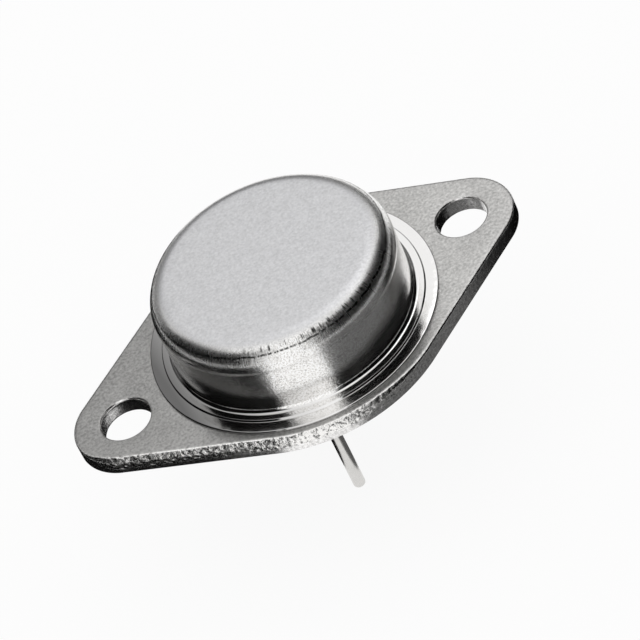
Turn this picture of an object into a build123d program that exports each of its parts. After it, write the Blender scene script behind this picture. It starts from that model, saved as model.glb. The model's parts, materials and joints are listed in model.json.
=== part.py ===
from build123d import *

# A voltage regulator in a two-lead metal can with a flange, in millimetres.
# The origin is on the cap's axis, on the flange's underside, which seats on a heat sink.
# +Z points up through the cap, +X along the flange towards one screw hole.

import os
from math import acos, cos, sin

# Flange of the header: a stamped steel plate, pointed at both ends.
HOLE_SPACING = 30.15
HOLE_RADIUS = 2.05
END_RADIUS = 4.25
MIDDLE_RADIUS = 12.55
PLATE_THICKNESS = 1.45
DIE_ROLL = 0.20  # rounding that the stamping punch leaves along the upper edges
BREAK_CHAMFER = 0.08  # broken lower edges

# Cap: drawn steel can with an out-turned brim, welded down on the plate.
CAP_RADIUS = 9.80
CAP_TOP = 8.10
CAP_GAUGE = 0.50
SHOULDER_RADIUS = 1.80
SHOULDER_SWELL = 0.04  # how far the shoulder stands out past the wall
SHOULDER_LINE = 6.24  # height of the draw line under the shoulder
DRAW_LINE_FALL = 0.30
DRAW_LINE_ROUND = 0.50
FOOT_RADIUS = 0.42
BRIM_RADIUS = 11.70
BRIM_GAUGE = 0.38
IMPRINT_RADIUS = 10.62  # the welding electrode pressed the brim thinner outside this
IMPRINT_DEPTH = 0.16
IMPRINT_RUN = 0.08
BRIM_EDGE = 0.09
SMALL_ROUND = 0.05

# Leads: two straight round pins, sealed through the plate in glass.
LEAD_SPACING = 10.92
LEAD_OFFSET = 1.82
LEAD_RADIUS = 0.50
NECK_RADIUS = 0.47  # under the nail head: the lead tapers to it from the seating plane
LEAD_LENGTH = 12.30
LEAD_TIP_ROUND = 0.22
HEAD_RADIUS = 0.80
HEAD_THICKNESS = 0.35
HEAD_TOP = PLATE_THICKNESS + 2.10
HEAD_ROUND = 0.08
SEAL_RADIUS = 1.45
MENISCUS_LOW = 0.16  # deepest dip of the glass below the plate's faces
MENISCUS_RIM = 0.05  # how far below the plate's faces the glass meets the steel
MENISCUS_CLIMB = 0.10  # how far the glass climbs the lead inside the can

# Inside: copper spreader brazed to the plate, with the chip soldered on top.
SPREADER_CENTRE = (2.60, 0.0)
SPREADER_SIDE = 7.00
SPREADER_HEIGHT = 0.80
SPREADER_CORNER = 0.60
SPREADER_EDGE = 0.12
BRAZE_MARGIN = 0.18
BRAZE_THICKNESS = 0.06
CHIP_LENGTH = 2.80
CHIP_WIDTH = 2.50
CHIP_THICKNESS = 0.36
SOLDER_MARGIN = 0.12
SOLDER_THICKNESS = 0.05

# Bond wires: round aluminium wire with a flattened foot at each end.
WIRE_RADIUS = 0.125
WIRE_PITCH = 0.62
FOOT_LENGTH = 0.50
FOOT_WIDTH = 0.36
FOOT_HEIGHT = 0.14
WIRE_RISE = 0.95
WIRE_BEND = 0.35
PAD_INSET = 0.42

hole_x = HOLE_SPACING / 2
spreader_bottom = PLATE_THICKNESS + BRAZE_THICKNESS
spreader_top = spreader_bottom + SPREADER_HEIGHT
chip_bottom = spreader_top + SOLDER_THICKNESS
chip_top = chip_bottom + CHIP_THICKNESS


def turned(outline):
    """A solid of revolution about Z from a closed outline drawn as (radius, height)."""
    return revolve(Plane.XZ * make_face(outline), Axis.Z)


def flange_outline():
    """End arcs round the screw holes and middle arcs round the cap, joined by tangent lines."""
    lean = acos((MIDDLE_RADIUS - END_RADIUS) / hole_x)
    end_x, end_y = hole_x + END_RADIUS * cos(lean), END_RADIUS * sin(lean)
    mid_x, mid_y = MIDDLE_RADIUS * cos(lean), MIDDLE_RADIUS * sin(lean)
    tip_x = hole_x + END_RADIUS
    outline = ThreePointArc((end_x, -end_y), (tip_x, 0), (end_x, end_y))
    outline += Line((end_x, end_y), (mid_x, mid_y))
    outline += ThreePointArc((mid_x, mid_y), (0, MIDDLE_RADIUS), (-mid_x, mid_y))
    outline += Line((-mid_x, mid_y), (-end_x, end_y))
    outline += ThreePointArc((-end_x, end_y), (-tip_x, 0), (-end_x, -end_y))
    outline += Line((-end_x, -end_y), (-mid_x, -mid_y))
    outline += ThreePointArc((-mid_x, -mid_y), (0, -MIDDLE_RADIUS), (mid_x, -mid_y))
    outline += Line((mid_x, -mid_y), (end_x, -end_y))
    return outline


def lead_places():
    """Where the input lead and the output lead stand."""
    return (-LEAD_OFFSET, -LEAD_SPACING / 2), (-LEAD_OFFSET, LEAD_SPACING / 2)


def header_plate():
    """Stamped flange with two screw holes, and two holes for the glass-sealed leads."""
    plate = extrude(make_face(flange_outline()), PLATE_THICKNESS)
    for side in (-1, 1):
        plate -= Pos(side * hole_x, 0) * extrude(Circle(HOLE_RADIUS), PLATE_THICKNESS)
    rolled = plate.edges().group_by(Axis.Z)[-1]
    plate = fillet(rolled, DIE_ROLL)
    broken = plate.edges().group_by(Axis.Z)[0]
    plate = chamfer(broken, BREAK_CHAMFER)
    for x, y in lead_places():
        plate -= Pos(x, y) * extrude(Circle(SEAL_RADIUS), PLATE_THICKNESS)
    return plate


def cap():
    """Drawn can: flat top, round shoulder, faint draw line, straight wall and a welded brim."""
    swell = CAP_RADIUS + SHOULDER_SWELL
    brim_top = PLATE_THICKNESS + BRIM_GAUGE
    pressed_top = brim_top - IMPRINT_DEPTH
    outside = FilletPolyline(
        (0, CAP_TOP),
        (swell, CAP_TOP),
        (swell, SHOULDER_LINE),
        (CAP_RADIUS, SHOULDER_LINE - DRAW_LINE_FALL),
        (CAP_RADIUS, brim_top),
        (IMPRINT_RADIUS, brim_top),
        (IMPRINT_RADIUS + IMPRINT_RUN, pressed_top),
        (BRIM_RADIUS, pressed_top),
        (BRIM_RADIUS, PLATE_THICKNESS),
        (CAP_RADIUS, PLATE_THICKNESS),
        radius=[
            SHOULDER_RADIUS,
            DRAW_LINE_ROUND,
            DRAW_LINE_ROUND,
            FOOT_RADIUS,
            SMALL_ROUND,
            SMALL_ROUND,
            BRIM_EDGE,
            SMALL_ROUND,
        ],
    )
    bore = CAP_RADIUS - CAP_GAUGE
    ceiling = CAP_TOP - CAP_GAUGE
    inside = FilletPolyline(
        (CAP_RADIUS, PLATE_THICKNESS),
        (bore, PLATE_THICKNESS),
        (bore, ceiling),
        (0, ceiling),
        radius=[FOOT_RADIUS, SHOULDER_RADIUS - CAP_GAUGE],
    )
    return turned(outside + inside + Line((0, ceiling), (0, CAP_TOP)))


def lead(place):
    """Straight pin with a rounded tip and a nail head, which carries the bond wires."""
    head_bottom = HEAD_TOP - HEAD_THICKNESS
    outline = FilletPolyline(
        (0, -LEAD_LENGTH),
        (LEAD_RADIUS, -LEAD_LENGTH),
        (LEAD_RADIUS, 0),
        (NECK_RADIUS, head_bottom),
        (HEAD_RADIUS, head_bottom),
        (HEAD_RADIUS, HEAD_TOP),
        (0, HEAD_TOP),
        radius=[LEAD_TIP_ROUND, 0, 0, HEAD_ROUND, HEAD_ROUND],
    )
    return Pos(*place) * turned(outline + Line((0, HEAD_TOP), (0, -LEAD_LENGTH)))


def lead_radius_at(height):
    """The lead's radius between the seating plane and its head."""
    share = height / (HEAD_TOP - HEAD_THICKNESS)
    return LEAD_RADIUS + (NECK_RADIUS - LEAD_RADIUS) * share


def glass_seal(place):
    """Glass bead between lead and plate, with a dished face at each end."""
    middle = (LEAD_RADIUS + SEAL_RADIUS) / 2
    low_rim, low_dip = MENISCUS_RIM, MENISCUS_LOW
    top_rim = PLATE_THICKNESS - MENISCUS_RIM
    top_dip = PLATE_THICKNESS - MENISCUS_LOW
    top_climb = PLATE_THICKNESS + MENISCUS_CLIMB
    low_wet, top_wet = lead_radius_at(low_rim), lead_radius_at(top_climb)
    outline = ThreePointArc((low_wet, low_rim), (middle, low_dip), (SEAL_RADIUS, low_rim))
    outline += Line((SEAL_RADIUS, low_rim), (SEAL_RADIUS, top_rim))
    outline += ThreePointArc((SEAL_RADIUS, top_rim), (middle, top_dip), (top_wet, top_climb))
    outline += Line((top_wet, top_climb), (low_wet, low_rim))
    return Pos(*place) * turned(outline)


def slab(length, width, bottom, height, corner):
    """Flat block with round corners, centred on the spreader's place."""
    face = Pos(*SPREADER_CENTRE) * RectangleRounded(length, width, corner)
    return Pos(0, 0, bottom) * extrude(face, height)


def spreader_braze():
    side = SPREADER_SIDE + 2 * BRAZE_MARGIN
    corner = SPREADER_CORNER + BRAZE_MARGIN
    return slab(side, side, PLATE_THICKNESS, BRAZE_THICKNESS, corner)


def heat_spreader():
    block = slab(SPREADER_SIDE, SPREADER_SIDE, spreader_bottom, SPREADER_HEIGHT, SPREADER_CORNER)
    return fillet(block.edges().group_by(Axis.Z)[-1], SPREADER_EDGE)


def chip_solder():
    length = CHIP_LENGTH + 2 * SOLDER_MARGIN
    width = CHIP_WIDTH + 2 * SOLDER_MARGIN
    return slab(length, width, spreader_top, SOLDER_THICKNESS, SOLDER_MARGIN)


def regulator_chip():
    x, y = SPREADER_CENTRE
    return Pos(x, y, chip_bottom + CHIP_THICKNESS / 2) * Box(CHIP_LENGTH, CHIP_WIDTH, CHIP_THICKNESS)


def bond_wire(start, end):
    """Wire looped from one pad to another, along a straight line in plan."""
    start, end = Vector(*start), Vector(*end)
    heading = Vector(end.X - start.X, end.Y - start.Y, 0).normalized()
    lift = Vector(0, 0, WIRE_RADIUS)
    peak = Vector(0, 0, max(start.Z, end.Z) + WIRE_RISE)
    leave, arrive = start + heading * FOOT_LENGTH, end - heading * FOOT_LENGTH
    span = arrive - leave
    flat = Vector(1, 1, 0)

    def above(share):
        point = leave + span * share
        return Vector(point.X, point.Y, 0) + peak

    path = FilletPolyline(
        start + lift,
        leave + lift,
        above(0.3),
        above(0.62),
        arrive + lift,
        end + lift,
        radius=WIRE_BEND,
    )
    wire = sweep(Plane(origin=path @ 0, z_dir=path % 0) * Circle(WIRE_RADIUS), path)
    for foot, towards in ((start, heading), (end, -heading)):
        place = Plane(origin=foot, x_dir=towards, z_dir=(0, 0, 1))
        wire += place * Pos(FOOT_LENGTH / 2, 0, FOOT_HEIGHT / 2) * Box(FOOT_LENGTH, FOOT_WIDTH, FOOT_HEIGHT)
    return wire


def lead_bond_wires(place, side):
    """Two parallel wires from the chip's edge nearest a lead to the lead's head."""
    x, y = SPREADER_CENTRE
    wires = []
    for step in (-0.5, 0.5):
        pad = (x + (step - 0.5) * WIRE_PITCH, y + side * (CHIP_WIDTH / 2 - PAD_INSET), chip_top)
        head = (place[0] + step * WIRE_PITCH, place[1], HEAD_TOP)
        wires.append(bond_wire(pad, head))
    return wires


def ground_bond_wire():
    """Short wire from the chip's far edge down to the copper spreader, which is the ground."""
    x, y = SPREADER_CENTRE
    pad = (x + CHIP_LENGTH / 2 - 2 * PAD_INSET, y, chip_top)
    landing = (x + SPREADER_SIDE / 2 - PAD_INSET, y, spreader_top)
    return bond_wire(pad, landing)


def sub_parts():
    """Every separate piece, by the name it goes under."""
    input_place, output_place = lead_places()
    input_wires = lead_bond_wires(input_place, -1)
    output_wires = lead_bond_wires(output_place, 1)
    pieces = {
        "header_plate": header_plate(),
        "cap": cap(),
        "input_lead": lead(input_place),
        "output_lead": lead(output_place),
        "input_glass_seal": glass_seal(input_place),
        "output_glass_seal": glass_seal(output_place),
        "spreader_braze": spreader_braze(),
        "heat_spreader": heat_spreader(),
        "chip_solder": chip_solder(),
        "regulator_chip": regulator_chip(),
        "ground_bond_wire": ground_bond_wire(),
    }
    for letter, input_wire, output_wire in zip("ab", input_wires, output_wires):
        pieces[f"input_bond_wire_{letter}"] = input_wire
        pieces[f"output_bond_wire_{letter}"] = output_wire
    return pieces


os.makedirs("parts", exist_ok=True)
for name, piece in sub_parts().items():
    export_step(piece, f"parts/{name}.step")
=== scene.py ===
import json
from math import acos, atan2, cos, degrees, pi, radians, sin, tan

import bmesh
import bpy
from mathutils import Matrix, Vector, noise


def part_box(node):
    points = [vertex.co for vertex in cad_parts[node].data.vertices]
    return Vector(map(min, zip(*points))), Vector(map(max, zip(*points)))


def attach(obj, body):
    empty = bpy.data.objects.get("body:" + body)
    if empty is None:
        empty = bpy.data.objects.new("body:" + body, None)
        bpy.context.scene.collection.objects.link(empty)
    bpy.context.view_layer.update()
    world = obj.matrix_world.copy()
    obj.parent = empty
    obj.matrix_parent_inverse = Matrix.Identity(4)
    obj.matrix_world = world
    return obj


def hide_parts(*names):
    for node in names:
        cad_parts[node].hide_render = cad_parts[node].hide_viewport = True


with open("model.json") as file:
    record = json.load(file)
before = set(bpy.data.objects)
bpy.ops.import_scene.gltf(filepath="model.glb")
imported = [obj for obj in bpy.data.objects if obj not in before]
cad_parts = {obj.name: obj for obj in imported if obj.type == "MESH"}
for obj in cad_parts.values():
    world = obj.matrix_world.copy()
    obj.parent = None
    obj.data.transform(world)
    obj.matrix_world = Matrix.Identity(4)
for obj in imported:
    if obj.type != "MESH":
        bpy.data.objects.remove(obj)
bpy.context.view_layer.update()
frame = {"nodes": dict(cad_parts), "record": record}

# A voltage regulator in a welded metal can, and the small studio that it is shown in.
# Lengths in the code are millimetres; vertices are written out in metres.
MM = 0.001

# ---- Sizes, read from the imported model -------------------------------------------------


def box_mm(node):
    low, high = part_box(node)
    return low / MM, high / MM


def mount(name):
    return next(m for m in frame["record"]["mounts"] if m["name"] == name)


plate_high = box_mm("header_plate")[1]
cap_high = box_mm("cap")[1]
screws = mount("mounting_holes")["dims"]
HOLE_X = screws["spacing_x_mm"] / 2
HOLE_RADIUS = screws["hole_r_mm"]
PLATE_TOP = plate_high.z
END_RADIUS = plate_high.x - HOLE_X
MIDDLE_RADIUS = plate_high.y
CAN_TOP = cap_high.z
BRIM_RADIUS = cap_high.x
SEAL_RADIUS = (box_mm("input_glass_seal")[1].x - box_mm("input_glass_seal")[0].x) / 2
LEAD_RADIUS = mount("input_lead_pin")["dims"]["r_mm"]
LEAD_TIP = box_mm("input_lead")[0].z
LEAD_TOP = box_mm("input_lead")[1].z

# The can's section
CAN_RADIUS = 9.80
CAN_GAUGE = 0.50
SHOULDER_RADIUS = 1.80
SHOULDER_SWELL = 0.04
DRAW_LINE = 6.24
CREASE_SHADE_HEIGHT = 7.48  # height where the die creased the shoulder
# Painted shade: the near-black line and dashes painted into the shoulder's colour sit at this height.
FOOT_RADIUS = 0.42
BRIM_TOP = PLATE_TOP + 0.38
IMPRINT_RADIUS = 10.62
PRESSED_TOP = PLATE_TOP + 0.22

# The stamped edge of the plate
DIE_ROLL = 0.18
DEEP_ROLL = 0.62  # at the front left, where the punch was blunt
BORE_ROLL = 0.20  # round the top of each screw hole
EDGE_SPACING = 0.12  # between the columns of the edge's mesh
BREAK_CHAMFER = 0.08


# ---- Shapes ------------------------------------------------------------------------------


def rounded(corners, steps=7):
    """Points along an outline of (x, y, corner radius), with every round corner drawn as an arc."""
    points = []
    for i, (x, y, radius) in enumerate(corners):
        here = Vector((x, y))
        if not radius:
            points.append(here)
            continue
        back = (Vector(corners[i - 1][:2]) - here).normalized()
        ahead = (Vector(corners[i + 1][:2]) - here).normalized()
        half = back.angle(ahead) / 2
        middle = here + (back + ahead).normalized() * radius / sin(half)
        start = here + back * radius / tan(half) - middle
        turn = start.angle_signed(here + ahead * radius / tan(half) - middle)
        for step in range(steps + 1):
            angle = -turn * step / steps
            x = start.x * cos(angle) - start.y * sin(angle)
            y = start.x * sin(angle) + start.y * cos(angle)
            points.append(middle + Vector((x, y)))
    return points


def refined(points, longest):
    """The same path with no run longer than the given length."""
    path = [points[0]]
    for end in points[1:]:
        start = path[-1]
        cuts = max(1, round((end - start).length / longest + 0.49))
        path += [start.lerp(end, cut / cuts) for cut in range(1, cuts + 1)]
    return path


def outward(path, i):
    """Normal of a path that runs clockwise, seen with x to the right."""
    run = path[min(i + 1, len(path) - 1)] - path[max(i - 1, 0)]
    return Vector((-run.y, run.x)).normalized()


def finished(name, bm, material, node):
    """Turns a bmesh in millimetres into a smooth shaded piece that stands for a CAD node."""
    bmesh.ops.scale(bm, vec=(MM, MM, MM), verts=bm.verts)
    bmesh.ops.recalc_face_normals(bm, faces=bm.faces)
    for face in bm.faces:
        face.smooth = True
    mesh = bpy.data.meshes.new(name)
    bm.to_mesh(mesh)
    bm.free()
    mesh.materials.append(material)
    piece = bpy.data.objects.new(name, mesh)
    bpy.context.collection.objects.link(piece)
    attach(piece, "root")
    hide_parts(node)
    return piece


def turned(path, sides, centre=(0, 0), relief=None, closed=False):
    """Surface of revolution of (radius, height) points. Relief says how far a point is pushed in."""
    bm = bmesh.new()
    rings = []
    for i, point in enumerate(path):
        normal = outward(path, i)
        if point.x < 1e-6:
            rings.append([bm.verts.new((centre[0], centre[1], point.y))])
            continue
        ring = []
        for side in range(sides):
            angle = 2 * pi * side / sides
            push = relief(angle, point.x, point.y, normal) if relief else 0
            r, z = point.x - normal.x * push, point.y - normal.y * push
            ring.append(bm.verts.new((centre[0] + r * cos(angle), centre[1] + r * sin(angle), z)))
        rings.append(ring)
    pairs = list(zip(rings, rings[1:]))
    if closed:
        pairs.append((rings[-1], rings[0]))
    for upper, lower in pairs:
        for side in range(sides):
            after = (side + 1) % sides
            corners = [upper[side % len(upper)], lower[side % len(lower)]]
            corners += [lower[after % len(lower)], upper[after % len(upper)]]
            corners = list(dict.fromkeys(corners))
            if len(corners) > 2:
                bm.faces.new(corners)
    return bm


def ramp(value, start, end):
    """0 before start and 1 after end, with a smooth rise between."""
    share = min(1, max(0, (value - start) / (end - start)))
    return share * share * (3 - 2 * share)


def ripple(angle, per_turn, seed, z=0.0):
    """Smooth noise round a circle, from 0 to 1, with no seam."""
    reach = per_turn / 6
    return 0.5 + 0.5 * noise.noise(Vector((reach * cos(angle), reach * sin(angle), z + seed * 9.7)))


def can_relief(angle, r, z, normal):
    """Draw wrinkles down the shoulder, a slightly uneven wall, and weld marks on the brim's rim."""
    tilt = degrees(acos(max(-1, min(1, normal.y))))
    push = 0.0
    if z > DRAW_LINE - 0.6 and r > CAN_RADIUS - SHOULDER_RADIUS:
        on_shoulder = ramp(tilt, 14, 34) * (1 - ramp(tilt, 62, 86))
        wrinkles = 0.6 * ripple(angle, 240, 1, z * 0.5) + 0.4 * ripple(angle, 520, 2, z * 0.4)
        patches = 0.3 + 0.7 * ripple(angle, 16, 3)
        push += 0.011 * on_shoulder * wrinkles * patches
    if r > CAN_RADIUS - 0.2 and z > BRIM_TOP:
        push += 0.009 * ripple(angle, 24, 4, z * 0.35) + 0.003 * ripple(angle, 90, 5, z * 0.8)
    if r > BRIM_RADIUS - 0.35:
        push += 0.030 * ripple(angle, 150, 6) * ramp(r, BRIM_RADIUS - 0.35, BRIM_RADIUS)
    return push


def can(material):
    swell = CAN_RADIUS + SHOULDER_SWELL
    outside = rounded([
        (0, CAN_TOP, 0),
        (swell, CAN_TOP, SHOULDER_RADIUS),
        (swell, DRAW_LINE, 0.5),
        (CAN_RADIUS, DRAW_LINE - 0.30, 0.5),
        (CAN_RADIUS, BRIM_TOP, FOOT_RADIUS),
        (IMPRINT_RADIUS, BRIM_TOP, 0.04),
        (IMPRINT_RADIUS + 0.08, PRESSED_TOP, 0.05),
        (BRIM_RADIUS, PRESSED_TOP, 0.11),
        (BRIM_RADIUS, PLATE_TOP, 0),
    ], steps=14)
    bore, ceiling = CAN_RADIUS - CAN_GAUGE, CAN_TOP - CAN_GAUGE
    inside = rounded([
        (BRIM_RADIUS, PLATE_TOP, 0),
        (CAN_RADIUS, PLATE_TOP, 0),
        (bore, PLATE_TOP + 0.5, 0.3),
        (bore, ceiling, SHOULDER_RADIUS - CAN_GAUGE),
        (0, ceiling, 0),
    ], steps=6)
    outside = refined(outside, 0.55)
    skin = {(round(p.x, 6), round(p.y, 6)) for p in outside[:-1]}

    def relief(angle, r, z, normal):
        return can_relief(angle, r, z, normal) if (round(r, 6), round(z, 6)) in skin else 0

    path = outside + refined(inside, 1.6)[1:]
    return finished("can", turned(path, 720, relief=relief), material, "cap")


def flange_outline(spacing):
    """Points and outward normals along the flange's edge: end arcs, middle arcs and tangent lines."""
    lean = acos((MIDDLE_RADIUS - END_RADIUS) / HOLE_X)
    arcs = [
        (HOLE_X, END_RADIUS, -lean, lean),
        (0, MIDDLE_RADIUS, lean, pi - lean),
        (-HOLE_X, END_RADIUS, pi - lean, pi + lean),
        (0, MIDDLE_RADIUS, pi + lean, 2 * pi - lean),
    ]
    edge = []
    for i, (x, radius, start, end) in enumerate(arcs):
        cuts = round(radius * (end - start) / spacing)
        for cut in range(cuts + 1):
            angle = start + (end - start) * cut / cuts
            normal = Vector((cos(angle), sin(angle)))
            edge.append((Vector((x, 0)) + normal * radius, normal))
        x_next, radius_next, start_next, _ = arcs[(i + 1) % 4]
        normal = Vector((cos(start_next), sin(start_next)))
        target = Vector((x_next, 0)) + normal * radius_next
        origin = edge[-1][0]
        cuts = round((target - origin).length / spacing)
        edge += [(origin.lerp(target, cut / cuts), normal) for cut in range(1, cuts)]
    return edge


def bluntness(normal):
    """1 where the stamped edge is deeply rolled and torn, at the front left, and 0 elsewhere."""
    return ramp(cos(atan2(normal.y, normal.x) - radians(-112)), 0.60, 0.94)


def edge_section(point, normal):
    """Rows of (inset, depth) down the stamped edge: the roll, the sheared side and the broken corner."""
    blunt = bluntness(normal)
    wander = 0.12 * noise.noise(Vector((point.x * 0.9, point.y * 0.9, 0)))
    depth = DIE_ROLL + (DEEP_ROLL - DIE_ROLL) * max(0, blunt + wander * blunt)
    width = 0.30 + 0.28 * blunt
    turns = [pi / 2 * i / 10 for i in range(11)]
    rows = [(width * (1 - sin(turn)), depth * (1 - cos(turn))) for turn in turns]
    rest = PLATE_TOP - BREAK_CHAMFER - depth
    rows += [(0, depth + rest * i / 11) for i in range(1, 12)]
    return rows + [(BREAK_CHAMFER, PLATE_TOP)]


def edge_relief(point, normal, depth):
    """How far the sheared edge is eaten in: torn where it is blunt, faintly streaked elsewhere."""
    blunt = bluntness(normal)
    torn = ramp(depth, 0.01, 0.10) * (1 - ramp(depth, 0.80, 1.05))
    crumbs = noise.turbulence(Vector((point.x * 2.6, point.y * 2.6, depth * 3.6)), 3, True)
    streak = 0.5 + 0.5 * noise.noise(Vector((point.x * 5, point.y * 5, depth * 0.8)))
    return torn * (0.008 + 0.10 * blunt) * crumbs + 0.006 * streak


def bore_section(point, normal):
    turns = [pi / 2 * i / 8 for i in range(9)]
    rows = [(BORE_ROLL * (1 - sin(turn)), BORE_ROLL * (1 - cos(turn))) for turn in turns]
    rest = PLATE_TOP - BREAK_CHAMFER - BORE_ROLL
    return rows + [(0, BORE_ROLL + rest * i / 13) for i in range(1, 14)] + [(BREAK_CHAMFER, PLATE_TOP)]


def bore_relief(point, normal, depth):
    return 0.030 * ripple(atan2(normal.y, normal.x), 44, 7, depth * 0.3) * ramp(depth, 0.2, 0.4)


def plain_section(point, normal):
    return [(0, 0), (0, PLATE_TOP)]


def no_relief(point, normal, depth):
    return 0


def header(material):
    """The stamped plate, with its two screw holes and the holes for the glass seals."""
    bm = bmesh.new()

    def strip(edge, section, relief):
        columns = []
        for point, normal in edge:
            column = []
            for inset, depth in section(point, normal):
                place = point - normal * (inset + relief(point, normal, depth))
                column.append(bm.verts.new((place.x, place.y, PLATE_TOP - depth)))
            columns.append(column)
        for left, right in zip(columns, columns[1:] + columns[:1]):
            for row in range(len(left) - 1):
                bm.faces.new((left[row], left[row + 1], right[row + 1], right[row]))
        return [column[0] for column in columns], [column[-1] for column in columns]

    loops = [strip(flange_outline(EDGE_SPACING), edge_section, edge_relief)]
    for x in (-HOLE_X, HOLE_X):
        turns = [2 * pi * i / 160 for i in range(160)]
        rays = [Vector((cos(turn), sin(turn))) for turn in turns]
        rim = [(Vector((x, 0)) + ray * HOLE_RADIUS, -ray) for ray in rays]
        loops.append(strip(rim, bore_section, bore_relief))
    for low, high in (box_mm("input_glass_seal"), box_mm("output_glass_seal")):
        middle = (low + high) / 2
        turns = [2 * pi * i / 96 for i in range(96)]
        rays = [Vector((cos(turn), sin(turn))) for turn in turns]
        wall = [(middle.xy + ray * SEAL_RADIUS, -ray) for ray in rays]
        loops.append(strip(wall, plain_section, no_relief))
    for level in (0, 1):
        rim = []
        for loop in loops:
            ring = loop[level]
            rim += [bm.edges.get((ring[i - 1], ring[i])) for i in range(len(ring))]
        bmesh.ops.triangle_fill(bm, use_beauty=True, use_dissolve=False, edges=rim)
    return finished("flange", bm, material, "header_plate")


def lead(name, material, node):
    """Drawn wire lead with a tumbled tip, and its nail head inside the can."""
    low, high = box_mm(node)
    middle = (low + high) / 2
    head = (high.x - low.x) / 2
    path = rounded([
        (0, LEAD_TOP, 0),
        (head, LEAD_TOP, 0.08),
        (head, LEAD_TOP - 0.35, 0.08),
        (LEAD_RADIUS - 0.03, LEAD_TOP - 0.35, 0),
        (LEAD_RADIUS, 0, 0),
        (LEAD_RADIUS, LEAD_TIP, 0.22),
        (0, LEAD_TIP, 0),
    ], steps=6)

    def relief(angle, r, z, normal):
        below = ramp(-z, 0, 0.5)
        lengthwise, crosswise = ripple(angle, 12, 8, z * 0.2), ripple(angle, 8, 9, z * 1.5)
        return below * (0.006 * lengthwise + 0.004 * crosswise)

    bm = turned(refined(path, 0.25), 64, (middle.x, middle.y), relief)
    return finished(name, bm, material, node)


def seal(name, material, node):
    """Glass bead with a dished face at each end, wetted on to the lead and the plate."""
    low, high = box_mm(node)
    middle = (low + high) / 2
    bare = LEAD_RADIUS - 0.01
    span = SEAL_RADIUS - bare
    across = [i / 12 for i in range(13)]
    top = [Vector((bare + span * t, PLATE_TOP + 0.10 - 0.15 * t - 0.74 * t * (1 - t))) for t in across]
    under = [Vector((SEAL_RADIUS - span * t, 0.05 + 0.44 * t * (1 - t))) for t in across]
    bm = turned(top + under, 96, (middle.x, middle.y), closed=True)
    return finished(name, bm, material, node)


# ---- Finishes --------------------------------------------------------------------------------


def put(tree, kind, sockets=None, **settings):
    """Adds a shader node. A socket given another node's output is linked, and any other value is set."""
    node = tree.nodes.new(kind)
    for name, value in settings.items():
        setattr(node, name, value)
    for key, value in (sockets or {}).items():
        if isinstance(value, bpy.types.NodeSocket):
            tree.links.new(value, node.inputs[key])
        else:
            node.inputs[key].default_value = value
    return node


def sums(tree, operation, first, second=None, third=None, clamp=False):
    values = {i: v for i, v in enumerate((first, second, third)) if v is not None}
    return put(tree, "ShaderNodeMath", values, operation=operation, use_clamp=clamp).outputs[0]


def mapped(tree, value, low, high, start=0.0, end=1.0, **settings):
    """A value carried from the range low..high to start..end, and held at its ends."""
    sockets = {"Value": value, "From Min": low, "From Max": high, "To Min": start, "To Max": end}
    return put(tree, "ShaderNodeMapRange", sockets, **settings).outputs[0]


def effect(name, inputs, outputs, build):
    """A shader node group: inputs are (name, kind, value), outputs are (name, kind)."""
    tree = bpy.data.node_groups.new(name, "ShaderNodeTree")
    for label, kind, value in inputs:
        tree.interface.new_socket(label, in_out="INPUT", socket_type=kind).default_value = value
    for label, kind in outputs:
        tree.interface.new_socket(label, in_out="OUTPUT", socket_type=kind)
    given = tree.nodes.new("NodeGroupInput").outputs
    result = put(tree, "NodeGroupOutput")
    for label, value in build(tree, given).items():
        tree.links.new(value, result.inputs[label])
    return tree


FLOAT, VECTOR = "NodeSocketFloat", "NodeSocketVector"


def build_place(tree, given):
    place = put(tree, "ShaderNodeTexCoord").outputs["Object"]
    scaled = put(tree, "ShaderNodeVectorMath", {0: place, "Scale": 1 / MM}, operation="SCALE").outputs[0]
    parts = put(tree, "ShaderNodeSeparateXYZ", {0: scaled}).outputs
    flat = put(tree, "ShaderNodeCombineXYZ", {0: parts[0], 1: parts[1]}).outputs[0]
    radius = put(tree, "ShaderNodeVectorMath", {0: flat}, operation="LENGTH").outputs["Value"]
    around = put(tree, "ShaderNodeVectorMath", {0: flat}, operation="NORMALIZE").outputs[0]
    return {"Millimetres": scaled, "Across": parts[0], "Height": parts[2], "Radius": radius, "Around": around}


def build_zone(tree, given):
    """1 between two values and 0 outside, with soft ends."""
    value, softness = given["Value"], given["Softness"]
    ends = []
    for edge, start, end in ((given["Low"], 0.0, 1.0), (given["High"], 1.0, 0.0)):
        before, after = sums(tree, "SUBTRACT", edge, softness), sums(tree, "ADD", edge, softness)
        ends.append(mapped(tree, value, before, after, start, end, interpolation_type="SMOOTHSTEP"))
    rise, fall = ends
    return {"Mask": sums(tree, "MULTIPLY", rise, fall)}


def build_grain(tree, given):
    """Fine plated grain with softer clouds under it."""
    fine = put(tree, "ShaderNodeTexNoise", {
        "Vector": given["Place"], "Scale": given["Grains per mm"], "Detail": 2.0,
        "Roughness": 0.6}).outputs[0]
    clouds = put(tree, "ShaderNodeTexNoise", {
        "Vector": given["Place"], "Scale": sums(tree, "MULTIPLY", given["Grains per mm"], 0.17),
        "Detail": 2.0}).outputs[0]
    spread = sums(tree, "MULTIPLY", sums(tree, "SUBTRACT", fine, 0.5), given["Contrast"])
    drift = sums(tree, "MULTIPLY", sums(tree, "SUBTRACT", clouds, 0.5), given["Clouding"])
    tone = sums(tree, "ADD", sums(tree, "ADD", spread, drift), 1.0)
    return {"Tone": tone, "Height": fine, "Clouds": clouds}


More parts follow.
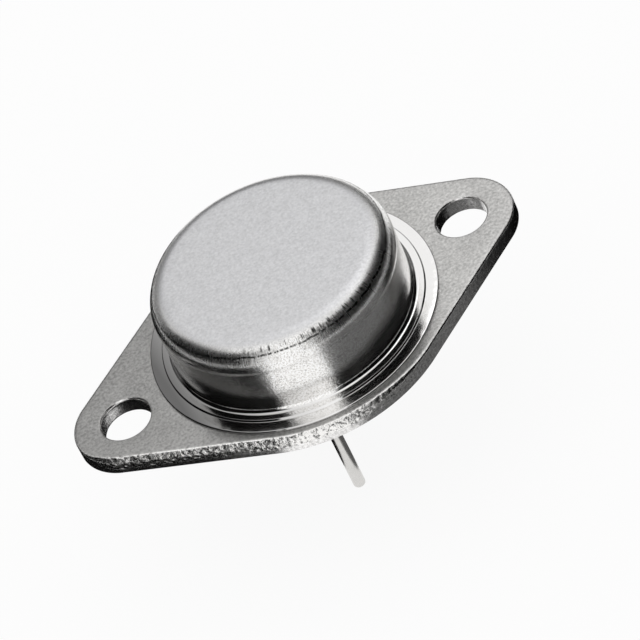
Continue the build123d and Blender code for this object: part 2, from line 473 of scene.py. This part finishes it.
def build_streaks(tree, given):
    """Marks that run up and over a turned or drawn form, as the press leaves them."""
    around = put(tree, "ShaderNodeVectorMath", {
        0: given["Around"], "Scale": given["Marks per turn"]}, operation="SCALE").outputs[0]
    sink = sums(tree, "MULTIPLY", given["Height"], given["Wander"])
    drop = put(tree, "ShaderNodeCombineXYZ", {2: sink}).outputs[0]
    place = put(tree, "ShaderNodeVectorMath", {0: around, 1: drop}, operation="ADD").outputs[0]
    marks = put(tree, "ShaderNodeTexNoise", {
        "Vector": place, "Scale": 0.16, "Detail": 3.0, "Roughness": 0.65}).outputs[0]
    return {"Marks": marks}


def build_handling(tree, given):
    """Faint scuffs: thin broken scratches, and soft smears where the part was touched."""
    bent = put(tree, "ShaderNodeTexNoise", {
        "Vector": given["Place"], "Scale": 0.35, "Detail": 1.0}).outputs[1]
    shifted = put(tree, "ShaderNodeVectorMath", {0: bent, 1: (6.0, 6.0, 6.0), 2: given["Place"]},
                  operation="MULTIPLY_ADD").outputs[0]
    lines = put(tree, "ShaderNodeTexVoronoi", {"Vector": shifted, "Scale": 0.45},
                feature="DISTANCE_TO_EDGE").outputs[0]
    thin = mapped(tree, lines, 0.0, given["Width"], 1.0, 0.0)
    smear = put(tree, "ShaderNodeTexNoise", {
        "Vector": given["Place"], "Scale": 0.28, "Detail": 3.0}).outputs[0]
    broken = mapped(tree, smear, 0.52, 0.66)
    return {"Scratches": sums(tree, "MULTIPLY", thin, broken), "Smears": smear}


place_group = effect("place_on_part", [], [
    ("Millimetres", VECTOR), ("Across", FLOAT), ("Height", FLOAT), ("Radius", FLOAT),
    ("Around", VECTOR)], build_place)
zone_group = effect("zone", [
    ("Value", FLOAT, 0.0), ("Low", FLOAT, 0.0), ("High", FLOAT, 1.0), ("Softness", FLOAT, 0.1)],
    [("Mask", FLOAT)], build_zone)
grain_group = effect("plated_grain", [
    ("Place", VECTOR, (0, 0, 0)), ("Grains per mm", FLOAT, 5.0), ("Contrast", FLOAT, 0.2),
    ("Clouding", FLOAT, 0.1)],
    [("Tone", FLOAT), ("Height", FLOAT), ("Clouds", FLOAT)], build_grain)
streak_group = effect("draw_marks", [
    ("Around", VECTOR, (1, 0, 0)), ("Height", FLOAT, 0.0), ("Marks per turn", FLOAT, 200.0),
    ("Wander", FLOAT, 0.5)],
    [("Marks", FLOAT)], build_streaks)
handling_group = effect("handling_marks", [("Place", VECTOR, (0, 0, 0)), ("Width", FLOAT, 0.01)],
                        [("Scratches", FLOAT), ("Smears", FLOAT)], build_handling)


def use(tree, group, **values):
    """Places an effect in a material. Underscores in a value's name stand for spaces."""
    node = put(tree, "ShaderNodeGroup", node_tree=group)
    for key, value in values.items():
        socket = node.inputs[key.replace("_", " ")]
        if isinstance(value, bpy.types.NodeSocket):
            tree.links.new(value, socket)
        else:
            socket.default_value = value
    return node.outputs


def grained(tree, at, grains_per_mm, contrast, clouding):
    return use(tree, grain_group, Place=at["Millimetres"], Grains_per_mm=grains_per_mm,
               Contrast=contrast, Clouding=clouding)


def streaked(tree, at, marks_per_turn, wander):
    return use(tree, streak_group, Around=at["Around"], Height=at["Height"],
               Marks_per_turn=marks_per_turn, Wander=wander)["Marks"]


def zoned(tree, value, low, high, softness):
    return use(tree, zone_group, Value=value, Low=low, High=high, Softness=softness)["Mask"]


def blank(name, metallic=1.0):
    """A material with an empty Principled shader, and its tree."""
    material = bpy.data.materials.new(name)
    material.use_nodes = True
    tree = material.node_tree
    tree.nodes.clear()
    shader = put(tree, "ShaderNodeBsdfPrincipled", {"Metallic": metallic})
    tree.links.new(shader.outputs[0], put(tree, "ShaderNodeOutputMaterial").inputs[0])
    return material, tree, shader


def tinted(tree, tone, colour):
    """The colour times the tone."""
    return put(tree, "ShaderNodeVectorMath", {0: colour, "Scale": tone}, operation="SCALE").outputs[0]


def blended(tree, mask, first, second):
    """A mix of two values or two colours by a mask."""
    if isinstance(first, (int, float)) or getattr(first, "type", "") == "VALUE":
        return put(tree, "ShaderNodeMix", {0: mask, 2: first, 3: second}, data_type="FLOAT").outputs[0]
    return put(tree, "ShaderNodeMix", {0: mask, 6: first, 7: second}, data_type="RGBA").outputs[2]


def bump(tree, height, strength, depth):
    """Normal from a height, with its full depth in millimetres."""
    sockets = {"Height": height, "Strength": strength, "Distance": depth * MM}
    return put(tree, "ShaderNodeBump", sockets).outputs[0]


def wire_up(tree, shader, colour, roughness, normal):
    tree.links.new(colour, shader.inputs["Base Color"])
    tree.links.new(roughness, shader.inputs["Roughness"])
    tree.links.new(normal, shader.inputs["Normal"])


def painted_crease_shade(tree, at, marks):
    """Painted shade where the die creased the shoulder: a thin wandering near-black line, and short dark
    dashes above it at the front, both painted into the colour.
    """
    around = put(tree, "ShaderNodeTexNoise", {"Vector": at["Around"], "Scale": 9.0, "Detail": 7.0,
                                              "Roughness": 0.8}).outputs[0]
    wander = sums(tree, "MULTIPLY_ADD", around, 0.34, at["Height"])
    line = zoned(tree, wander, CREASE_SHADE_HEIGHT + 0.12, CREASE_SHADE_HEIGHT + 0.22, 0.04)
    whole = mapped(tree, marks, 0.36, 0.48)
    dash = mapped(tree, marks, 0.53, 0.58)
    row = zoned(tree, wander, CREASE_SHADE_HEIGHT + 0.34, CREASE_SHADE_HEIGHT + 0.56, 0.06)
    y = put(tree, "ShaderNodeSeparateXYZ", {0: at["Around"]}).outputs[1]
    front = mapped(tree, y, -0.70, -0.92)
    dashes = sums(tree, "MULTIPLY", dash, sums(tree, "MULTIPLY", row, front))
    return sums(tree, "MAXIMUM", sums(tree, "MULTIPLY", line, whole), dashes)


def bright_can_nickel():
    """Satin on the flat top, streaked over the shoulder, bright on the drawn wall and brim, with painted
    shade darkening the brim toward the left and a painted near-black line and dashes where the die creased
    the shoulder.
    """
    material, tree, shader = blank("bright_can_nickel")
    at = use(tree, place_group)
    top = zoned(tree, at["Radius"], -5.0, 8.80, 0.40)
    high = zoned(tree, at["Height"], 6.3, 20.0, 0.15)
    crown = sums(tree, "MULTIPLY", top, high)
    shoulder = zoned(tree, at["Height"], 6.75, 7.95, 0.25)
    brim = zoned(tree, at["Height"], -5.0, 2.0, 0.15)
    grain = grained(tree, at, 5.0, 0.60, 0.06)
    speckle = grained(tree, at, 7.5, 1.7, 0.30)
    marks = streaked(tree, at, 620.0, 1.1)
    wall_marks = streaked(tree, at, 300.0, 14.0)
    touched = use(tree, handling_group, Place=at["Millimetres"], Width=0.012)
    # Painted shade: the brim's colour darkens toward the left, standing in for the shade and darker
    # reflections there.
    painted_shade_to_left = mapped(tree, at["Across"], -11.0, -2.0, 0.14, 0.86)
    bright = blended(tree, brim, tinted(tree, speckle["Tone"], (0.93, 0.92, 0.90)),
                     tinted(tree, painted_shade_to_left, (1.0, 0.99, 0.98)))
    colour = blended(tree, crown, bright, tinted(tree, grain["Tone"], (0.60, 0.60, 0.61)))
    folds = streaked(tree, at, 260.0, 1.1)
    # Painted shade: the crease line and the dashes above it are painted near-black into the colour.
    colour = blended(tree, painted_crease_shade(tree, at, folds), colour, (0.03, 0.03, 0.03, 1))
    upward = mapped(tree, at["Height"], 2.0, 5.5, 0.03, 0.17)
    sheen = sums(tree, "MULTIPLY_ADD", touched["Smears"], 0.14, upward)
    sheen = sums(tree, "MULTIPLY_ADD", sums(tree, "MULTIPLY", marks, shoulder), 0.06, sheen)
    plain = sums(tree, "SUBTRACT", 1.0, sums(tree, "MAXIMUM", brim, crown, clamp=True))
    relief = sums(tree, "MULTIPLY", marks, sums(tree, "MULTIPLY_ADD", shoulder, 0.8, 0.10))
    relief = sums(tree, "MULTIPLY_ADD", sums(tree, "MULTIPLY", wall_marks, plain), 0.7, relief)
    depth = sums(tree, "MULTIPLY_ADD", plain, 0.45, 0.05)
    relief = sums(tree, "MULTIPLY_ADD", speckle["Height"], depth, relief)
    wire_up(tree, shader, colour, blended(tree, crown, sheen, 0.36), bump(tree, relief, 1.0, 0.012))
    return material


def satin_plate_nickel():
    """Even speckled satin on the faces, with painted shade darkening the faces toward the left and a painted
    highlight as a much lighter colour on the stamped edge; brighter and crumbled where the sheared edge is
    torn, that brightness being a painted highlight.
    """
    material, tree, shader = blank("satin_plate_nickel")
    at = use(tree, place_group)
    grain = grained(tree, at, 4.2, 1.3, 0.30)
    touched = use(tree, handling_group, Place=at["Millimetres"], Width=0.015)
    rolled = zoned(tree, at["Height"], 0.62, PLATE_TOP - 0.03, 0.04)
    side = zoned(tree, at["Height"], 0.04, PLATE_TOP - 0.03, 0.02)
    parts = put(tree, "ShaderNodeSeparateXYZ", {0: at["Millimetres"]}).outputs
    front = mapped(tree, parts[1], 1.0, -4.5)
    left = mapped(tree, parts[0], 8.0, 1.0)
    torn = sums(tree, "MULTIPLY", rolled, sums(tree, "MULTIPLY", front, left))
    crumbs = put(tree, "ShaderNodeTexNoise", {
        "Vector": at["Millimetres"], "Scale": 4.4, "Detail": 3.0, "Roughness": 0.6}).outputs[0]
    pits = mapped(tree, crumbs, 0.34, 0.46, 0.05, 0.98)
    # Painted shade: the plate's faces darken toward the left, standing in for the shade the can casts there.
    painted_shade_to_left = mapped(tree, at["Across"], -17.0, 15.0, 0.66, 1.05, interpolation_type="SMOOTHSTEP")
    face = tinted(tree, sums(tree, "MULTIPLY", grain["Tone"], painted_shade_to_left), (0.48, 0.475, 0.465))
    # Painted highlight: the rolled and sheared edge is given a far lighter colour than the faces, so it shows
    # as a bright line.
    face = blended(tree, side, face, tinted(tree, grain["Tone"], (0.84, 0.83, 0.82)))
    # Painted highlight: the torn edge at the front left is coloured near white in crumbled spots, standing in
    # for its sparkle; the crumbled bump below is real relief.
    colour = blended(tree, torn, face, tinted(tree, pits, (1.0, 0.99, 0.97)))
    roughness = sums(tree, "MULTIPLY_ADD", touched["Smears"], 0.12, 0.30)
    roughness = sums(tree, "MULTIPLY_ADD", side, -0.10, roughness)
    relief = sums(tree, "MULTIPLY_ADD", touched["Scratches"], -0.15, grain["Height"])
    relief = sums(tree, "MULTIPLY_ADD", sums(tree, "MULTIPLY", crumbs, torn), 2.6, relief)
    wire_up(tree, shader, colour, roughness, bump(tree, relief, 1.0, 0.016))
    return material


def lead_plating():
    """Nickel on drawn wire: long faint die lines and a slightly matt skin."""
    material, tree, shader = blank("lead_plating")
    at = use(tree, place_group)
    stretched = put(tree, "ShaderNodeVectorMath", {0: at["Millimetres"], 1: (9.0, 9.0, 0.35)},
                    operation="MULTIPLY").outputs[0]
    lines = put(tree, "ShaderNodeTexNoise", {"Vector": stretched, "Scale": 1.0, "Detail": 3.0}).outputs[0]
    grain = grained(tree, at, 8.0, 0.12, 0.12)
    roughness = sums(tree, "MULTIPLY_ADD", lines, 0.14, 0.20)
    height = sums(tree, "MULTIPLY_ADD", grain["Height"], 0.3, lines)
    colour = tinted(tree, grain["Tone"], (0.70, 0.69, 0.67))
    wire_up(tree, shader, colour, roughness, bump(tree, height, 1.0, 0.006))
    return material


def seal_glass():
    """Dark pressed glass with small bubbles."""
    material, tree, shader = blank("seal_glass", metallic=0.0)
    at = use(tree, place_group)
    bubbles = put(tree, "ShaderNodeTexVoronoi", {"Vector": at["Millimetres"], "Scale": 6.0}).outputs[0]
    grain = grained(tree, at, 3.0, 0.5, 0.5)
    pits = mapped(tree, bubbles, 0.05, 0.22)
    shader.inputs["Coat Weight"].default_value = 0.6
    roughness = sums(tree, "MULTIPLY_ADD", grain["Clouds"], 0.08, 0.06)
    colour = tinted(tree, grain["Tone"], (0.055, 0.07, 0.062))
    wire_up(tree, shader, colour, roughness, bump(tree, pits, 0.5, 0.01))
    return material


def inner_metal(name, colour, roughness, grains, contrast, depth):
    """A plain metal inside the can, with its own grain."""
    material, tree, shader = blank(name)
    at = use(tree, place_group)
    grain = grained(tree, at, grains, contrast, contrast)
    uneven = sums(tree, "MULTIPLY_ADD", grain["Clouds"], 0.16, roughness - 0.08)
    relief = bump(tree, grain["Height"], 1.0, depth)
    wire_up(tree, shader, tinted(tree, grain["Tone"], colour), uneven, relief)
    return material


def etched_silicon():
    """Grey-blue chip face with its metal pads and tracks as faint lighter blocks."""
    material, tree, shader = blank("etched_silicon", metallic=0.0)
    at = use(tree, place_group)
    cells = put(tree, "ShaderNodeTexVoronoi", {"Vector": at["Millimetres"], "Scale": 3.2, "Randomness": 0.55},
                distance="CHEBYCHEV").outputs
    blocks = mapped(tree, cells[0], 0.30, 0.33)
    grain = grained(tree, at, 12.0, 0.15, 0.2)
    base = blended(tree, blocks, (0.42, 0.43, 0.46, 1), (0.09, 0.10, 0.14, 1))
    colour = put(tree, "ShaderNodeVectorMath", {0: base, "Scale": grain["Tone"]},
                 operation="SCALE").outputs[0]
    roughness = sums(tree, "MULTIPLY_ADD", blocks, -0.15, 0.32)
    wire_up(tree, shader, colour, roughness, bump(tree, blocks, 0.5, 0.004))
    return material


finishes = {
    "cap_nickel": bright_can_nickel(),
    "plate_nickel": satin_plate_nickel(),
    "lead_plating": lead_plating(),
    "seal_glass": seal_glass(),
    "copper": inner_metal("rolled_copper", (0.76, 0.42, 0.29), 0.34, 4.0, 0.16, 0.006),
    "braze": inner_metal("silver_braze", (0.80, 0.78, 0.72), 0.40, 7.0, 0.22, 0.010),
    "solder": inner_metal("dull_solder", (0.55, 0.55, 0.57), 0.52, 9.0, 0.26, 0.010),
    "silicon": etched_silicon(),
    "bond_wire": inner_metal("soft_aluminium_wire", (0.86, 0.86, 0.87), 0.28, 14.0, 0.10, 0.003),
}

# ---- The part --------------------------------------------------------------------------------

can(finishes["cap_nickel"])
header(finishes["plate_nickel"])
lead("front_lead", finishes["lead_plating"], "input_lead")
lead("back_lead", finishes["lead_plating"], "output_lead")
seal("front_seal", finishes["seal_glass"], "input_glass_seal")
seal("back_seal", finishes["seal_glass"], "output_glass_seal")
for part in frame["record"]["subparts"]:
    node = frame["nodes"][part["node"]]
    for slot_number in range(len(node.data.materials)):
        node.data.materials[slot_number] = finishes[part["material_slot"]]


# ---- The studio ------------------------------------------------------------------------------


def toward(azimuth, elevation):
    """Unit vector; azimuth runs from +X towards +Y, in degrees."""
    a, e = radians(azimuth), radians(elevation)
    return Vector((cos(e) * cos(a), cos(e) * sin(a), sin(e)))


def staged(name, bm, material):
    bmesh.ops.scale(bm, vec=(MM, MM, MM), verts=bm.verts)
    mesh = bpy.data.meshes.new(name)
    bm.to_mesh(mesh)
    bm.free()
    mesh.materials.append(material)
    thing = bpy.data.objects.new(name, mesh)
    bpy.context.collection.objects.link(thing)
    return thing


def white_paper():
    """White to the camera and in reflections, and still taking the part's soft shadow."""
    material = bpy.data.materials.new("white_paper")
    material.use_nodes = True
    tree = material.node_tree
    tree.nodes.clear()
    ray = put(tree, "ShaderNodeLightPath").outputs
    seen = sums(tree, "MAXIMUM", ray["Is Camera Ray"], ray["Is Glossy Ray"])
    seen = sums(tree, "MAXIMUM", seen, ray["Is Transmission Ray"])
    glow = put(tree, "ShaderNodeEmission", {"Color": (1, 1, 1, 1), "Strength": 1.0}).outputs[0]
    matt = put(tree, "ShaderNodeBsdfDiffuse", {"Color": (0.9, 0.9, 0.9, 1)}).outputs[0]
    share = sums(tree, "MULTIPLY", seen, 0.90)
    mixed = put(tree, "ShaderNodeMixShader", {0: share, 1: matt, 2: glow}).outputs[0]
    tree.links.new(mixed, put(tree, "ShaderNodeOutputMaterial").inputs[0])
    return material


def floor():
    bm = bmesh.new()
    bmesh.ops.create_circle(bm, cap_ends=True, segments=96, radius=6000)
    bmesh.ops.translate(bm, vec=(0, 0, LEAD_TIP), verts=bm.verts)
    return staged("paper_floor", bm, white_paper())


def card(name, tone, azimuths, rows):
    """A card of one tone curved round the part, which only reflections see. Rows are (radius, height)."""
    material = bpy.data.materials.new(name)
    material.use_nodes = True
    tree = material.node_tree
    tree.nodes.clear()
    glow = put(tree, "ShaderNodeEmission", {"Color": (tone, tone, tone, 1), "Strength": 1.0}).outputs[0]
    tree.links.new(glow, put(tree, "ShaderNodeOutputMaterial").inputs[0])
    bm = bmesh.new()
    steps = 24
    lines = []
    for radius, height in rows:
        first, last = azimuths
        turns = [radians(first + (last - first) * step / steps) for step in range(steps + 1)]
        lines.append([bm.verts.new((radius * cos(a), radius * sin(a), height)) for a in turns])
    for lower, upper in zip(lines, lines[1:]):
        for i in range(steps):
            bm.faces.new((lower[i], lower[i + 1], upper[i + 1], upper[i]))
    board = staged(name, bm, material)
    board.visible_camera = False
    board.visible_diffuse = False
    board.visible_transmission = False
    board.visible_volume_scatter = False
    board.visible_shadow = False


def standing_card(name, tone, azimuths, elevations, distance=200):
    """A card on edge, bent to stay at one distance between two elevations."""
    steps = 8
    low, high = elevations
    lifts = [radians(low + (high - low) * i / steps) for i in range(steps + 1)]
    card(name, tone, azimuths, [(distance * cos(e), distance * sin(e)) for e in lifts])


def floor_card(name, tone, azimuths, radii):
    """A card lying just above the floor."""
    card(name, tone, azimuths, [(radius, LEAD_TIP + 0.5) for radius in radii])


def softbox(name, azimuth, elevation, distance, size, radiance):
    """A square soft lamp that faces the part. Its brightness is given as what a mirror would show."""
    data = bpy.data.lights.new(name, "AREA")
    data.shape = "RECTANGLE"
    data.size, data.size_y = size[0] * MM, size[1] * MM
    data.energy = radiance * pi * data.size * data.size_y
    lamp = bpy.data.objects.new(name, data)
    lamp.location = toward(azimuth, elevation) * distance * MM
    lamp.rotation_mode = "QUATERNION"
    lamp.rotation_quaternion = toward(azimuth, elevation).to_track_quat("Z", "Y")
    lamp.visible_camera = False
    bpy.context.collection.objects.link(lamp)


def white_room():
    world = bpy.data.worlds.new("white_room")
    bpy.context.scene.world = world
    world.use_nodes = True
    tree = world.node_tree
    tree.nodes.clear()
    ray = put(tree, "ShaderNodeLightPath").outputs
    seen = sums(tree, "MAXIMUM", ray["Is Camera Ray"], ray["Is Glossy Ray"])
    seen = sums(tree, "MAXIMUM", seen, ray["Is Transmission Ray"])
    shown = put(tree, "ShaderNodeBackground", {"Color": (1, 1, 1, 1), "Strength": 1.0}).outputs[0]
    lit = put(tree, "ShaderNodeBackground", {"Color": (1, 1, 1, 1), "Strength": 0.85}).outputs[0]
    mixed = put(tree, "ShaderNodeMixShader", {0: seen, 1: lit, 2: shown}).outputs[0]
    tree.links.new(mixed, put(tree, "ShaderNodeOutputWorld").inputs[0])


def camera(aim, distance, azimuth, elevation, roll, lens):
    """Looks at a point from a distance, with the camera rolled about its axis."""
    data = bpy.data.cameras.new("camera")
    data.lens, data.sensor_width = lens, 36
    data.clip_start, data.clip_end = 0.01, 20
    back = toward(azimuth, elevation)
    right = Vector((0, 0, 1)).cross(back).normalized()
    up = back.cross(right)
    turn = radians(roll)
    across = right * cos(turn) + up * sin(turn)
    frame_up = up * cos(turn) - right * sin(turn)
    eye = Vector(aim) + back * distance
    view = Matrix((across, frame_up, back)).transposed().to_4x4()
    view.translation = eye * MM
    eye_object = bpy.data.objects.new("camera", data)
    eye_object.matrix_world = view
    bpy.context.collection.objects.link(eye_object)
    bpy.context.scene.camera = eye_object


BLACK, NEAR_BLACK, DARK = 0.002, 0.006, 0.16  # tones of the cards
floor()
standing_card("front_right_card", BLACK, (-92, -5), (-8, 65))
standing_card("far_right_card", 0.004, (-5, 28), (-8, 54))
standing_card("left_card", NEAR_BLACK, (135, 222), (-8, 54))
standing_card("back_left_card", 0.22, (90, 135), (-8, 30))
standing_card("right_low_card", DARK, (28, 90), (-8, 26))
floor_card("front_floor_card", 0.12, (-90, -20), (2, 120))
floor_card("right_floor_card", BLACK, (-20, 26), (14, 120))
# Painted shade: a grey card on the floor under the plate, seen only in reflections, stands in for the plate's
# shadow there.
floor_card("under_plate_shade_card", 0.20, (-20, 90), (2, 14))
floor_card("left_floor_card", NEAR_BLACK, (95, 226), (2, 120))
softbox("back_right_lamp", 50, 60, 300, (170, 130), 0.6)
softbox("overhead_lamp", 100, 62, 420, (220, 160), 0.1)
white_room()
camera(aim=(1.1436, -4.5209, 4.0), distance=296.49, azimuth=-97.198, elevation=42.836,
       roll=-26.174, lens=221.15)
bpy.context.scene.view_settings.view_transform = "Standard"
